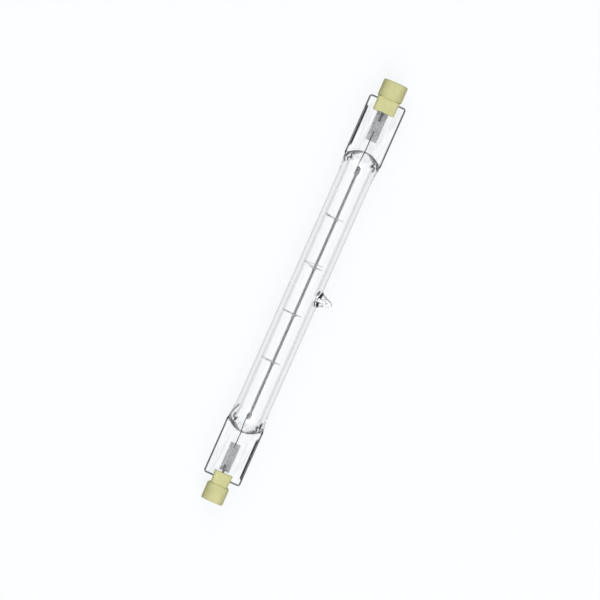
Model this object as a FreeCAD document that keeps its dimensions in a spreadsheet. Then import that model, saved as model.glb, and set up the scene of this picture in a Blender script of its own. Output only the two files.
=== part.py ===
import FreeCAD, Part
import math
import os
import Sketcher
from FreeCAD import Placement, Rotation, Vector

# Double-ended linear halogen bulb, lying as it comes to rest on a table.
# X runs along the tube, from the left cap to the right cap, and Z points up.
# Y runs across the flat press seals, which lie level, and the exhaust tip points to -Y.
# The lamp stands on the lowest points of its two flared shoulders, which keep it from rolling.
# The origin is the middle of the tube's axis.

os.makedirs("parts", exist_ok=True)
doc = FreeCAD.newDocument("LinearHalogenBulb")

# Sizes, in millimetres
SIZES = [
    ("tube_diameter", 9.1, "outside of the quartz tube"),
    ("tube_wall", 1.25, "wall of the quartz tube"),
    ("round_half_length", 33.0, "middle of the lamp to where the tube starts to flatten"),
    ("fall_length", 4.8, "length over which the tube is squeezed from round to flat"),
    ("jaw_lift", 0.3, "height over the round glass from which a jaw's fall starts"),
    ("seal_cover", 0.1, "glass of the seal over the flat cut of the jaws in the tube"),
    ("shoulder_overlap", 0.9, "a seal's square corner from where its flat faces start"),
    ("flare_setback", 0.8, "full width of the flare from where the seal's flat faces start"),
    ("flare_width", 10.0, "width of the tube where it is widened in full"),
    ("pinch_width", 10.2, "width of a press seal"),
    ("pinch_thickness", 3.2, "thickness of a press seal"),
    ("pinch_corner", 0.8, "rounding of a seal's corners seen on its flat side"),
    ("pinch_edge", 0.6, "rounding of a seal's long edges"),
    ("left_seal_margin", 2.2, "end of the left foil to the end of its seal"),
    ("right_seal_margin", 2.1, "end of the right foil to the end of its seal"),
    ("bead_width", 1.2, "width of the thicker bead along one edge of a seal"),
    ("bead_thickness", 3.9, "thickness of a seal at its bead"),
    ("bead_setback", 0.05, "bead's outer side from the seal's edge"),
    ("bead_end_rounding", 0.54, "rounding of a bead's ends seen from above"),
    ("bead_bevel", 0.36, "bevel along the bead's edges"),
    ("bead_lead_in", 0.5, "start of a bead before the end of the bore"),
    ("left_bead_margin", 1.7, "end of the left bead to the end of its seal"),
    ("right_bead_margin", 2.9, "end of the right bead to the end of its seal"),
    ("bore_fall_delay", 0.4, "start of the bore's fall from the start of the tube's fall"),
    ("bore_arch_setback", 0.6, "start of the bore's arch from where the seal's flat faces start"),
    ("bore_arch_length", 2.3, "length of the arch that closes the bore"),
    ("bore_end_height", 1.5, "height of the flattened bore where its end starts to round"),
    ("tip_offset", -0.33, "exhaust tip from the middle of the lamp"),
    ("tip_base_radius", 2.1, "radius of the exhaust tip at the tube"),
    ("tip_foot_depth", 0.35, "foot of the tip's flare below the outside of the tube"),
    ("tip_waist_radius", 1.25, "radius of the exhaust tip where its flare ends"),
    ("tip_flare_height", 1.55, "height of the tip's flare over the tube"),
    ("tip_cone_height", 1.9, "height from that flare to the end of the tip"),
    ("tip_rounding", 0.65, "rounding of the end of the exhaust tip"),
    ("tip_hole_radius", 0.8, "radius of the hole in the exhaust tip at the bore"),
    ("tip_hole_end_radius", 0.25, "radius of that hole at its closed end"),
    ("tip_hole_start", 0.6, "start of that hole inside the wall of the bore"),
    ("tip_end_wall", 1.5, "glass between that hole's closed end and the end of the tip"),
    ("foil_thickness", 0.05, "thickness of a sealing foil"),
    ("left_foil_gap", 3.1, "end of the bore to the left foil"),
    ("left_foil_length", 7.7, "length of the left foil"),
    ("left_foil_width", 2.7, "width of the left foil"),
    ("right_foil_gap", 3.0, "end of the bore to the right foil"),
    ("right_foil_length", 9.1, "length of the right foil"),
    ("right_foil_width", 3.0, "width of the right foil"),
    ("left_foil_aside", -0.22, "middle of the left foil across its seal"),
    ("right_foil_aside", 0.05, "middle of the right foil across its seal"),
    ("outer_lead_diameter", 0.6, "outer lead wire"),
    ("weld_bite", 0.06, "how deep a lead wire is pressed on its foil"),
    ("left_outer_weld", 1.6, "length of the left outer lead on its foil"),
    ("right_outer_weld", 3.6, "length of the right outer lead on its foil"),
    ("left_outer_aside", -0.45, "inner end of the left outer lead across its seal"),
    ("right_outer_aside", 0.13, "inner end of the right outer lead across its seal"),
    ("inner_lead_diameter", 0.3, "inner lead wire"),
    ("left_inner_weld", 1.3, "length of the left inner lead on its foil"),
    ("right_inner_weld", 2.7, "length of the right inner lead on its foil"),
    ("left_inner_aside", -0.26, "left inner lead across its seal"),
    ("right_inner_aside", 0.26, "right inner lead across its seal"),
    ("left_inner_bent_aside", -0.62, "left inner lead beside its sleeve"),
    ("right_inner_bent_aside", 0.58, "right inner lead beside its sleeve"),
    ("inner_lead_exit", 0.6, "first bend of an inner lead from the end of the bore"),
    ("inner_lead_rise", 0.6, "second bend of an inner lead from the end of the coil"),
    ("inner_lead_hold", 0.8, "length of an inner lead along the sleeve"),
    ("coil_diameter", 0.85, "outside of the filament coil"),
    ("coil_bore", 0.6, "inside of the filament coil"),
    ("left_coil_setback", 4.1, "left end of the coil from the end of the bore"),
    ("right_coil_setback", 4.4, "right end of the coil from the end of the bore"),
    ("sleeve_diameter", 1.4, "overwound end of the filament"),
    ("left_sleeve_length", 1.3, "length of the left sleeve"),
    ("right_sleeve_length", 1.8, "length of the right sleeve"),
    ("support_wire_diameter", 0.2, "wire of a filament support"),
    ("support_gap", 0.01, "play of a support on the coil and in the bore"),
    ("support_loop_diameter", 5.35, "outside of the large loop of a support"),
    ("support_tight_turns", 2.0, "turns of a support around the coil"),
    ("support_widening_turns", 0.8, "turns over which a support grows to its large loop"),
    ("support_loop_turns", 0.93, "turns of the large loop"),
    ("support_tight_pitch", 0.23, "pitch of the turns around the coil"),
    ("support_spread", 0.18, "length over which a support grows to its large loop"),
    ("support_1_place", -20.1, "first support from the middle of the lamp"),
    ("support_1_angle", 200.0, "where the wire of the first support starts"),
    ("support_1_lead", 0.25, "length that the first support's large loop takes"),
    ("support_2_place", -6.7, "second support from the middle of the lamp"),
    ("support_2_angle", 110.0, "where the wire of the second support starts"),
    ("support_2_lead", 0.2, "length that the second support's large loop takes"),
    ("support_3_place", 6.4, "third support from the middle of the lamp"),
    ("support_3_angle", 250.0, "where the wire of the third support starts"),
    ("support_3_lead", 1.0, "length that the third support's large loop takes"),
    ("support_4_place", 20.1, "fourth support from the middle of the lamp"),
    ("support_4_angle", 160.0, "where the wire of the fourth support starts"),
    ("support_4_lead", 0.3, "length that the fourth support's large loop takes"),
    ("left_cap_diameter", 5.95, "outside of the left ceramic cap"),
    ("right_cap_diameter", 6.6, "outside of the right ceramic cap"),
    ("left_cap_web", 1.25, "solid ceramic between the left cap's slot and its taper"),
    ("right_cap_web", 0.05, "solid ceramic between the right cap's slot and its taper"),
    ("cap_body_length", 4.4, "length of the round body of a cap"),
    ("cap_taper_length", 0.5, "length of the taper behind the round body"),
    ("cap_rim_rounding", 0.35, "rounding of the round body's edges"),
    ("cap_fork_height", 4.9, "height of the fork that straddles the seal"),
    ("cap_fork_rounding", 0.9, "rounding of the long edges of the fork"),
    ("fork_root", 0.2, "how far the fork runs into the round body"),
    ("left_fork_width", 5.05, "width of the left cap's fork at its inner end"),
    ("left_neck_width", 4.5, "width of the left cap's fork at the round body"),
    ("right_fork_width", 5.85, "width of the right cap's fork at its inner end"),
    ("right_neck_width", 6.0, "width of the right cap's fork at the round body"),
    ("left_fork_grip", 1.7, "how far the left cap's fork reaches over its seal"),
    ("right_fork_grip", 3.3, "how far the right cap's fork reaches over its seal"),
    ("recess_diameter", 4.0, "contact recess in the end of a cap"),
    ("lead_hole_diameter", 1.3, "hole through a cap for the outer lead"),
    ("cement_gap", 0.15, "cement between seal and cap"),
    ("cement_setback", 0.25, "how far the cement stays inside the fork's edges"),
    ("contact_diameter", 2.7, "head of a contact button"),
    ("contact_play", 0.05, "play around a contact button's head in its seat"),
    ("contact_depth", 1.7, "depth of the recess to its floor and to the contact face"),
    ("contact_head_height", 0.9, "height of the head, sunk in a seat below that floor"),
    ("contact_rounding", 0.2, "bevel around the contact face"),
    ("contact_stem_diameter", 1.2, "stem of a contact button"),
    ("contact_stem_length", 1.6, "length of that stem"),
]

sheet = doc.addObject("Spreadsheet::Sheet", "Sizes")
for row, (alias, value, note) in enumerate(SIZES, 1):
    sheet.set("A%d" % row, str(value))
    sheet.setAlias("A%d" % row, alias)
    sheet.set("B%d" % row, note)

# Places counted from the middle of the lamp or its axis, added up from the sizes inside them
PLACES = [
    ("flat_half_length", "Sizes.round_half_length + Sizes.fall_length"),
    ("shoulder_half_length", "flat_half_length - Sizes.shoulder_overlap"),
    ("flare_half_length", "flat_half_length - Sizes.flare_setback"),
    ("bore_round_half_length", "Sizes.round_half_length + Sizes.bore_fall_delay"),
    ("bore_taper_half_length", "flat_half_length - Sizes.bore_arch_setback"),
    ("bore_end_half_length", "bore_taper_half_length + Sizes.bore_arch_length"),
    ("bead_start", "bore_end_half_length - Sizes.bead_lead_in"),
    ("tip_waist_reach", "Sizes.tube_diameter / 2 + Sizes.tip_flare_height"),
    ("tip_reach", "tip_waist_reach + Sizes.tip_cone_height"),
    ("tip_hole_reach", "tip_reach - Sizes.tip_end_wall"),
]
for word in ("left", "right"):
    PLACES += [(alias.replace("END", word), formula.replace("END", word)) for alias, formula in (
        ("END_foil_start", "bore_end_half_length + Sizes.END_foil_gap"),
        ("END_foil_end", "END_foil_start + Sizes.END_foil_length"),
        ("END_pinch_end", "END_foil_end + Sizes.END_seal_margin"),
        ("END_bead_end", "END_pinch_end - Sizes.END_bead_margin"),
        ("END_outer_lead_start", "END_foil_end - Sizes.END_outer_weld"),
        ("END_inner_lead_end", "END_foil_start + Sizes.END_inner_weld"),
        ("END_coil_end", "bore_end_half_length - Sizes.END_coil_setback"),
        ("END_sleeve_start", "END_coil_end - Sizes.END_sleeve_length"),
        ("END_fork_end", "END_pinch_end - Sizes.END_fork_grip"),
        ("END_slot_end", "END_pinch_end + Sizes.cement_gap"),
        ("END_neck", "END_slot_end + Sizes.END_cap_web"),
        ("END_body_start", "END_neck + Sizes.cap_taper_length"),
        ("END_cap_end", "END_body_start + Sizes.cap_body_length"),
        ("END_contact_face", "END_cap_end - Sizes.contact_depth"),
        ("END_seat_floor", "END_contact_face - Sizes.contact_head_height"),
        ("END_stem_end", "END_seat_floor - Sizes.contact_stem_length"),
    )]
places = doc.addObject("Spreadsheet::Sheet", "Places")
for row, (alias, formula) in enumerate(PLACES, 1):
    places.set("A%d" % row, "=" + formula)
    places.setAlias("A%d" % row, alias)
    doc.recompute()

size = {alias: value for alias, value, note in SIZES}
size.update((alias, float(places.get(alias))) for alias, formula in PLACES)


def plane_of(body, role):
    return next(one for one in body.Origin.OriginFeatures if one.Role == role)


def new_body(name):
    return doc.addObject("PartDesign::Body", name)


def new_sketch(body, name, role, start=None):
    sketch = body.newObject("Sketcher::SketchObject", name)
    sketch.AttachmentSupport = (plane_of(body, role), [""])
    sketch.MapMode = "FlatFace"
    if start:
        sketch.setExpression("AttachmentOffset.Base.z", start)
    return sketch


def tie(sketch, constraint, name, expression):
    number = sketch.addConstraint(constraint)
    sketch.renameConstraint(number, name)
    sketch.setExpression("Constraints." + name, expression)


def closed_outline(sketch, corners):
    """Draw straight lines through corners and tie each corner's place to the sheet.

    A corner is (across, along, across expression, along expression).
    """
    count = len(corners)
    for here in range(count):
        a = corners[here]
        b = corners[(here + 1) % count]
        sketch.addGeometry(Part.LineSegment(Vector(a[0], a[1], 0), Vector(b[0], b[1], 0)))
    for here in range(count):
        following = (here + 1) % count
        sketch.addConstraint(Sketcher.Constraint("Coincident", here, 2, following, 1))
    for here, (across, along, across_words, along_words) in enumerate(corners):
        place = (
            ("DistanceX", "across", across, across_words),
            ("DistanceY", "along", along, along_words),
        )
        for kind, word, value, words in place:
            if words is None:
                axis = -2 if kind == "DistanceX" else -1
                sketch.addConstraint(Sketcher.Constraint("PointOnObject", here, 1, axis))
            else:
                limit = Sketcher.Constraint(kind, -1, 1, here, 1, value)
                tie(sketch, limit, "%s%d" % (word, here), words)


def circle_on(sketch, name, radius, expression):
    number = sketch.addGeometry(Part.Circle(Vector(0, 0, 0), Vector(0, 0, 1), radius))
    sketch.addConstraint(Sketcher.Constraint("Coincident", number, 3, -1, 1))
    tie(sketch, Sketcher.Constraint("Diameter", number, 2 * radius), name, expression)


def pad(body, name, sketch, length, reverse=False, both_ways=False):
    feature = body.newObject("PartDesign::Pad", name)
    feature.Profile = sketch
    if both_ways:
        feature.SideType = "Symmetric"
    feature.setExpression("Length", length)
    feature.Reversed = reverse
    sketch.Visibility = False
    doc.recompute()
    return feature


def pocket(body, name, sketch, length, reverse=False):
    before = body.Shape.Volume
    feature = body.newObject("PartDesign::Pocket", name)
    feature.Profile = sketch
    feature.setExpression("Length", length)
    feature.Reversed = reverse
    doc.recompute()
    if body.Shape.Volume > before - 1e-6:
        raise RuntimeError(name + " takes nothing away")
    return feature


def revolve(body, name, sketch, axis):
    feature = body.newObject("PartDesign::Revolution", name)
    feature.Profile = sketch
    feature.ReferenceAxis = (sketch, [axis])
    feature.Angle = 360
    doc.recompute()
    return feature


def upright(edge):
    return edge.BoundBox.ZLength > 1.0


def level(edge):
    return edge.BoundBox.ZLength < 1e-4


def round_edges(body, name, base, wanted, radius):
    edges = ["Edge%d" % n for n, edge in enumerate(base.Shape.Edges, 1) if wanted(edge)]
    feature = body.newObject("PartDesign::Fillet", name)
    feature.Base = (base, edges)
    feature.setExpression("Radius", radius)
    doc.recompute()
    return feature


def bevel_edges(body, name, base, wanted, depth):
    edges = ["Edge%d" % n for n, edge in enumerate(base.Shape.Edges, 1) if wanted(edge)]
    feature = body.newObject("PartDesign::Chamfer", name)
    feature.Base = (base, edges)
    feature.setExpression("Size", depth)
    doc.recompute()
    return feature


def fuse(name, shapes):
    """Join solids two at a time; the last step carries the name."""
    joined = shapes[0]
    for number, shape in enumerate(shapes[1:], 1):
        step = doc.addObject("Part::Fuse", name if number == len(shapes) - 1
                             else "%s_step_%d" % (name, number))
        step.Base = joined
        step.Tool = shape
        step.Refine = False
        doc.recompute()
        joined = step
    return joined


def cut(name, base, tool):
    rest = doc.addObject("Part::Cut", name)
    rest.Base = base
    rest.Tool = tool
    rest.Refine = False
    doc.recompute()
    return rest


def same_again(name, stock):
    """A piece with the shape of its stock, which can be laid down on its own."""
    piece = doc.addObject("Part::Refine", name)
    piece.Source = stock
    doc.recompute()
    return piece


# Turns the local X, Y, Z of a flat outline into the lamp's Y, Z, X
ACROSS_TUBE = Rotation(Vector(1, 1, 1), 120)
# How far a cut, a core or a hidden end runs past the glass or ceramic that it has to clear
OVERRUN = 2.0


def jaw_cut(sketch, first, right, above, flat, flat_words, start, start_words, toe, toe_words,
            top, top_words):
    """Outline of what one jaw takes away at one end: a rounded fall, then a flat run.

    The fall starts level at (start, top) and meets the flat run at (toe, flat).
    """
    drop = top - flat
    run = toe - start
    fall_radius = (run * run + drop * drop) / (2 * drop)
    centre = Vector(right * start, above * (top - fall_radius), 0)
    outer = toe + OVERRUN
    clear = top + OVERRUN
    begin = Vector(right * start, above * top, 0)
    end = Vector(right * toe, above * flat, 0)
    corners = [end, Vector(right * outer, above * flat, 0),
               Vector(right * outer, above * clear, 0),
               Vector(right * start, above * clear, 0), begin]
    angles = [math.atan2(end.y - centre.y, end.x - centre.x),
              math.atan2(begin.y - centre.y, begin.x - centre.x)]
    anticlockwise = right * above > 0
    if not anticlockwise:
        angles.reverse()
    sketch.addGeometry(Part.ArcOfCircle(
        Part.Circle(centre, Vector(0, 0, 1), fall_radius), angles[0], angles[1]))
    for a, b in zip(corners, corners[1:]):
        sketch.addGeometry(Part.LineSegment(a, b))
    arc_end, arc_begin = (1, 2) if anticlockwise else (2, 1)
    sign_x = "" if right > 0 else "-"
    sign_z = "" if above > 0 else "-"
    for rule in (
        ("Coincident", first, arc_end, first + 1, 1),
        ("Coincident", first + 1, 2, first + 2, 1),
        ("Coincident", first + 2, 2, first + 3, 1),
        ("Coincident", first + 3, 2, first + 4, 1),
        ("Coincident", first + 4, 2, first, arc_begin),
        ("Horizontal", first + 1),
        ("Vertical", first + 2),
        ("Horizontal", first + 3),
        ("Vertical", first + 4),
        ("Vertical", first, 3, first, arc_begin),
    ):
        sketch.addConstraint(Sketcher.Constraint(*rule))
    for kind, word, number, point, value, words in (
        ("DistanceX", "start", first + 4, 2, right * start, sign_x + "(" + start_words + ")"),
        ("DistanceY", "top", first + 4, 2, above * top, sign_z + "(" + top_words + ")"),
        ("DistanceX", "toe", first + 1, 1, right * toe, sign_x + "(" + toe_words + ")"),
        ("DistanceY", "flat", first + 1, 1, above * flat, sign_z + "(" + flat_words + ")"),
        ("DistanceX", "outer", first + 2, 1, right * outer,
         sign_x + "(" + toe_words + " + %s)" % OVERRUN),
        ("DistanceY", "clear", first + 2, 2, above * clear,
         sign_z + "(" + top_words + " + %s)" % OVERRUN),
    ):
        tie(sketch, Sketcher.Constraint(kind, -1, 1, number, point, value),
            "%s%d" % (word, first), words)


def squeeze(body, name, flat, flat_words, start, start_words, toe, toe_words, top, top_words):
    """Take the glass away above and below at both ends, as the jaws flatten it."""
    outline = new_sketch(body, name + "_outline", "XZ_Plane")
    first = 0
    for right in (1, -1):
        for above in (1, -1):
            jaw_cut(outline, first, right, above, flat, flat_words, start, start_words,
                    toe, toe_words, top, top_words)
            first += 5
    before = body.Shape.Volume
    feature = body.newObject("PartDesign::Pocket", name)
    feature.Profile = outline
    feature.SideType = "Symmetric"
    feature.setExpression("Length", "4 * Sizes.tube_diameter")
    doc.recompute()
    if body.Shape.Volume > before - 1e-6:
        raise RuntimeError(name + " takes nothing away")


# The quartz tube: round in the middle, a little wider and squeezed flat towards its ends
tube = new_body("tube_stock")
tube_r = size["tube_diameter"] / 2
flare_r = size["flare_width"] / 2
round_x = size["round_half_length"]
flare_x = size["flare_half_length"]
hidden_x = size["flat_half_length"] + OVERRUN
TUBE_R = "Sizes.tube_diameter / 2"
FLARE_R = "Sizes.flare_width / 2"
HIDDEN_X = "Places.flat_half_length + %s" % OVERRUN
tube_profile = new_sketch(tube, "tube_profile", "XY_Plane")
closed_outline(tube_profile, [
    (-hidden_x, 0, "-(" + HIDDEN_X + ")", None),
    (hidden_x, 0, HIDDEN_X, None),
    (hidden_x, flare_r, HIDDEN_X, FLARE_R),
    (flare_x, flare_r, "Places.flare_half_length", FLARE_R),
    (round_x, tube_r, "Sizes.round_half_length", TUBE_R),
    (-round_x, tube_r, "-Sizes.round_half_length", TUBE_R),
    (-flare_x, flare_r, "-Places.flare_half_length", FLARE_R),
    (-hidden_x, flare_r, "-(" + HIDDEN_X + ")", FLARE_R),
])
revolve(tube, "tube_turned", tube_profile, "H_Axis")
# The jaws' fall starts just outside the round glass and bites into it at an angle
squeeze(
    tube, "jaw_marks",
    size["pinch_thickness"] / 2 - size["seal_cover"], "Sizes.pinch_thickness / 2 - Sizes.seal_cover",
    round_x, "Sizes.round_half_length",
    size["flat_half_length"], "Places.flat_half_length",
    tube_r + size["jaw_lift"], TUBE_R + " + Sizes.jaw_lift")

# The bore: round, squeezed flat at its ends, and closed there by an arch
bore = new_body("bore_plan")
bore_r = tube_r - size["tube_wall"]
BORE_R = "(Sizes.tube_diameter / 2 - Sizes.tube_wall)"
taper_x = size["bore_taper_half_length"]
arch_x = size["bore_end_half_length"]
arch_radius = (bore_r ** 2 + (arch_x - taper_x) ** 2) / (2 * (arch_x - taper_x))
ARCH_X = "Places.bore_end_half_length"
ARCH_RADIUS = (
    "((%s * %s + (%s - Places.bore_taper_half_length) * (%s - Places.bore_taper_half_length))"
    " / (2 * (%s - Places.bore_taper_half_length)))" % (BORE_R, BORE_R, ARCH_X, ARCH_X, ARCH_X))
plan = new_sketch(bore, "bore_plan_outline", "XY_Plane")
centre_x = arch_x - arch_radius
plan.addGeometry(Part.LineSegment(
    Vector(-centre_x, -arch_radius, 0), Vector(centre_x, -arch_radius, 0)))
plan.addGeometry(Part.ArcOfCircle(
    Part.Circle(Vector(centre_x, 0, 0), Vector(0, 0, 1), arch_radius), -math.pi / 2, math.pi / 2))
plan.addGeometry(Part.LineSegment(
    Vector(centre_x, arch_radius, 0), Vector(-centre_x, arch_radius, 0)))
plan.addGeometry(Part.ArcOfCircle(
    Part.Circle(Vector(-centre_x, 0, 0), Vector(0, 0, 1), arch_radius),
    math.pi / 2, 3 * math.pi / 2))
for rule in (
    ("Tangent", 0, 2, 1, 1),
    ("Tangent", 1, 2, 2, 1),
    ("Tangent", 2, 2, 3, 1),
    ("Tangent", 3, 2, 0, 1),
    ("PointOnObject", 1, 3, -1),
    ("PointOnObject", 3, 3, -1),
    ("Horizontal", 0),
):
    plan.addConstraint(Sketcher.Constraint(*rule))
tie(plan, Sketcher.Constraint("Radius", 1, arch_radius), "arch", ARCH_RADIUS)
tie(plan, Sketcher.Constraint("DistanceX", -1, 1, 1, 3, centre_x),
    "right_centre", "%s - %s" % (ARCH_X, ARCH_RADIUS))
tie(plan, Sketcher.Constraint("DistanceX", 3, 3, -1, 1, centre_x),
    "left_centre", "%s - %s" % (ARCH_X, ARCH_RADIUS))
pad(bore, "bore_plan_pad", plan, "2 * %s + 1" % BORE_R, both_ways=True)
squeeze(
    bore, "bore_squeeze",
    size["bore_end_height"] / 2, "Sizes.bore_end_height / 2",
    size["bore_round_half_length"], "Places.bore_round_half_length",
    taper_x, "Places.bore_taper_half_length",
    bore_r + size["jaw_lift"], BORE_R + " + Sizes.jaw_lift")
bore_bar = doc.addObject("Part::Cylinder", "bore_bar")
bore_bar.setExpression("Radius", BORE_R)
bore_bar.setExpression("Height", "2 * (Places.bore_end_half_length + %s)" % OVERRUN)
bore_bar.Placement = Placement(Vector(), ACROSS_TUBE)
bore_bar.setExpression("Placement.Base.x", "-Places.bore_end_half_length - %s" % OVERRUN)
bore_stock = doc.addObject("Part::Common", "bore_stock")
bore_stock.Base = bore
bore_stock.Tool = bore_bar
bore_stock.Refine = False
doc.recompute()


def glass_end(word, side):
    """The press seal at one end, in two solids."""
    turned = Rotation(Vector(0, 0, 1), 0 if side > 0 else 180)

    # The seal is a flat block with rounded corners and edges
    block = new_body(word + "_seal_block")
    block.Placement = Placement(Vector(), turned)
    start = size["shoulder_half_length"]
    end = size[word + "_pinch_end"]
    half = size["pinch_width"] / 2
    outline = new_sketch(block, word + "_seal_outline", "XY_Plane")
    start_words = "Places.shoulder_half_length"
    end_words = "Places.%s_pinch_end" % word
    closed_outline(outline, [
        (start, -half, start_words, "-Sizes.pinch_width / 2"),
        (end, -half, end_words, "-Sizes.pinch_width / 2"),
        (end, half, end_words, "Sizes.pinch_width / 2"),
        (start, half, start_words, "Sizes.pinch_width / 2"),
    ])
    plate = pad(block, word + "_seal_plate", outline, "Sizes.pinch_thickness", both_ways=True)
    corners = round_edges(
        block, word + "_seal_corners", plate, upright, "Sizes.pinch_corner")
    round_edges(block, word + "_seal_edges", corners, level, "Sizes.pinch_edge")

    # A thicker bead of glass runs along one edge, squeezed out between the jaws
    bead = new_body(word + "_bead")
    bead.Placement = Placement(Vector(), turned)
    strip = new_sketch(bead, word + "_bead_outline", "XY_Plane")
    near = size["bead_start"]
    far = size[word + "_bead_end"]
    outer = half - size["bead_setback"]
    inner = outer - size["bead_width"]
    far_words = "Places.%s_bead_end" % word
    outer_words = "Sizes.pinch_width / 2 - Sizes.bead_setback"
    inner_words = outer_words + " - Sizes.bead_width"
    closed_outline(strip, [
        (near, inner, "Places.bead_start", inner_words),
        (far, inner, far_words, inner_words),
        (far, outer, far_words, outer_words),
        (near, outer, "Places.bead_start", outer_words),
    ])
    bar = pad(bead, word + "_bead_bar", strip, "Sizes.bead_thickness", both_ways=True)
    ends = round_edges(bead, word + "_bead_ends", bar, upright, "Sizes.bead_end_rounding")
    bevel_edges(bead, word + "_bead_edges", ends, level, "Sizes.bead_bevel")
    return [block, bead], block


# The exhaust tip: the stub of the pump tube, melted off and drawn to a blunt point
tip = new_body("exhaust_tip")
tip.Placement = Placement(Vector(), Rotation(Vector(0, 0, 1), 180))
tip.setExpression("Placement.Base.x", "Sizes.tip_offset")
profile = new_sketch(tip, "tip_profile", "XY_Plane")
foot = size["tube_diameter"] / 2 - size["tube_wall"]
foot_top = size["tube_diameter"] / 2 - size["tip_foot_depth"]
base_r = size["tip_base_radius"]
waist = Vector(size["tip_waist_radius"], size["tip_waist_reach"], 0)
end_r = size["tip_rounding"]
reach = size["tip_reach"]
end_centre = Vector(0, reach - end_r, 0)
gap = waist - end_centre
touch_angle = math.atan2(gap.y, gap.x) + math.acos(end_r / gap.Length)
touch = end_centre + Vector(math.cos(touch_angle), math.sin(touch_angle), 0) * end_r
rise = (touch - waist).normalize()
outward = Vector(rise.y, -rise.x, 0)
to_foot = Vector(base_r, foot_top, 0) - waist
sweep_r = to_foot.Length ** 2 / (2 * to_foot.dot(outward))
sweep_centre = waist + outward * sweep_r
sweep_from = math.atan2(waist.y - sweep_centre.y, waist.x - sweep_centre.x)
sweep_to = math.atan2(foot_top - sweep_centre.y, base_r - sweep_centre.x)
Z_UP = Vector(0, 0, 1)
profile.addGeometry(Part.LineSegment(Vector(0, foot, 0), Vector(base_r, foot, 0)))
profile.addGeometry(Part.LineSegment(Vector(base_r, foot, 0), Vector(base_r, foot_top, 0)))
profile.addGeometry(Part.ArcOfCircle(
    Part.Circle(sweep_centre, Z_UP, sweep_r), sweep_from % (2 * math.pi),
    sweep_to % (2 * math.pi)))
profile.addGeometry(Part.LineSegment(waist, touch))
profile.addGeometry(Part.ArcOfCircle(
    Part.Circle(end_centre, Z_UP, end_r), touch_angle, math.pi / 2))
profile.addGeometry(Part.LineSegment(Vector(0, reach, 0), Vector(0, foot, 0)))
for rule in (
    ("Coincident", 0, 2, 1, 1),
    ("Coincident", 1, 2, 2, 2),
    ("Tangent", 2, 1, 3, 1),
    ("Tangent", 3, 2, 4, 1),
    ("Coincident", 4, 2, 5, 1),
    ("Coincident", 5, 2, 0, 1),
    ("Horizontal", 0),
    ("Vertical", 1),
    ("Vertical", 5),
    ("PointOnObject", 0, 1, -2),
    ("PointOnObject", 4, 3, -2),
):
    profile.addConstraint(Sketcher.Constraint(*rule))
tie(profile, Sketcher.Constraint("DistanceY", -1, 1, 0, 1, foot),
    "foot", "Sizes.tube_diameter / 2 - Sizes.tube_wall")
tie(profile, Sketcher.Constraint("DistanceX", 0, 1, 0, 2, base_r),
    "base_radius", "Sizes.tip_base_radius")
tie(profile, Sketcher.Constraint("DistanceY", -1, 1, 1, 2, foot_top),
    "foot_top", "Sizes.tube_diameter / 2 - Sizes.tip_foot_depth")
tie(profile, Sketcher.Constraint("DistanceX", -1, 1, 3, 1, waist.x),
    "waist_radius", "Sizes.tip_waist_radius")
tie(profile, Sketcher.Constraint("DistanceY", -1, 1, 3, 1, waist.y),
    "waist_reach", "Places.tip_waist_reach")
tie(profile, Sketcher.Constraint("Radius", 4, end_r), "end_radius", "Sizes.tip_rounding")
tie(profile, Sketcher.Constraint("DistanceY", -1, 1, 5, 1, reach),
    "whole_reach", "Places.tip_reach")
revolve(tip, "tip_turned", profile, "V_Axis")

DOWN_THE_TIP = Rotation(Vector(1, 0, 0), 90)
tip_hole = doc.addObject("Part::Cone", "tip_hole")
tip_hole.setExpression("Radius1", "Sizes.tip_hole_radius")
tip_hole.setExpression("Radius2", "Sizes.tip_hole_end_radius")
TIP_HOLE_START = "Sizes.tube_diameter / 2 - Sizes.tube_wall - Sizes.tip_hole_start"
tip_hole.setExpression("Height", "Places.tip_hole_reach - (%s)" % TIP_HOLE_START)
tip_hole.Placement = Placement(Vector(), DOWN_THE_TIP)
tip_hole.setExpression("Placement.Base.x", "Sizes.tip_offset")
tip_hole.setExpression("Placement.Base.y", "-(%s)" % TIP_HOLE_START)
doc.recompute()


# Leads and foils, in the frame of one end: x outward, y turned with it
def stock_body(word, name, end_turn):
    body = new_body("%s_%s_stock" % (word, name))
    body.Placement = Placement(Vector(), end_turn)
    return body


def bent_wire(name, points, radius_words, turn):
    """A wire of straight runs with round elbows."""
    pieces = []
    whole = Placement(Vector(), turn)
    for number, (a, b) in enumerate(zip(points, points[1:]), 1):
        run = doc.addObject("Part::Cylinder", "%s_run_%d" % (name, number))
        run.setExpression("Radius", radius_words)
        run.Height = (b - a).Length
        run.Placement = whole.multiply(Placement(a, Rotation(Vector(0, 0, 1), b - a)))
        pieces.append(run)
        if b is not points[-1]:
            elbow = doc.addObject("Part::Sphere", "%s_elbow_%d" % (name, number))
            elbow.setExpression("Radius", radius_words)
            elbow.Placement = whole.multiply(Placement(b, Rotation()))
            pieces.append(elbow)
    doc.recompute()
    return fuse(name, pieces)


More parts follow.
